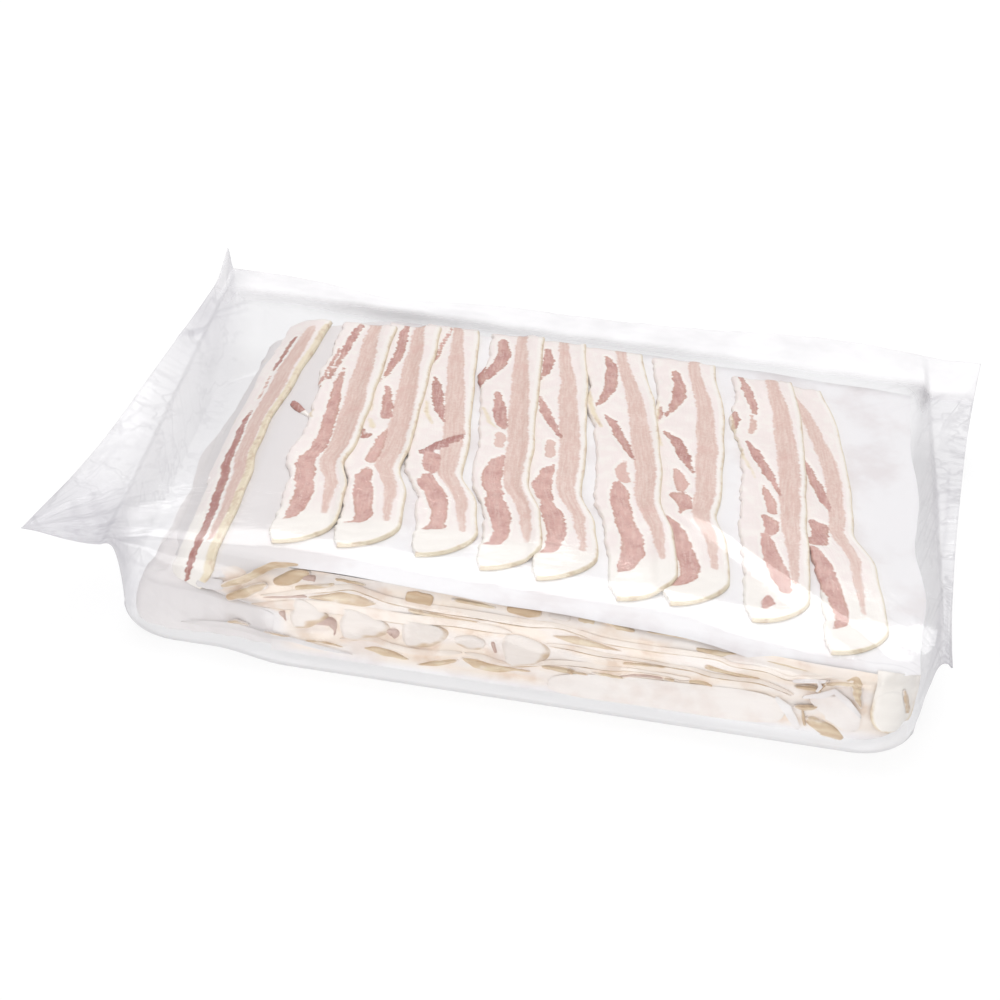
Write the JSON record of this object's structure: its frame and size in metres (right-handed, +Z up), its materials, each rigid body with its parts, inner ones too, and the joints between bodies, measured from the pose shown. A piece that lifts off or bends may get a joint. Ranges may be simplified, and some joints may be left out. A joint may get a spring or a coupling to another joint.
{
  "type": "layered bacon pack",
  "caption": "Flat clear film bag, sealed across both ends, round a low stack of paper sheets with bacon slices laid side by side.",
  "frame": {"origin": "middle of the pack's bounding box, on the surface it lies on", "axes": "+X along the pack from the wide seal flange to the narrow one, +Y from the front fold to the loose back fold, +Z up"},
  "size_m": [0.638, 0.4013, 0.0746],
  "materials": {
    "film": "thin clear film, glossy, faintly milky where it is doubled or creased",
    "sheet": "thin white greaseproof paper, matt, slightly see-through",
    "slice": "raw streaky bacon: rose lean, paler pink lean, white fat and a thin straw-coloured rind, with a moist sheen"
  },
  "bodies": {
    "root": {"bag": "film"}
  },
  "joints": []
}
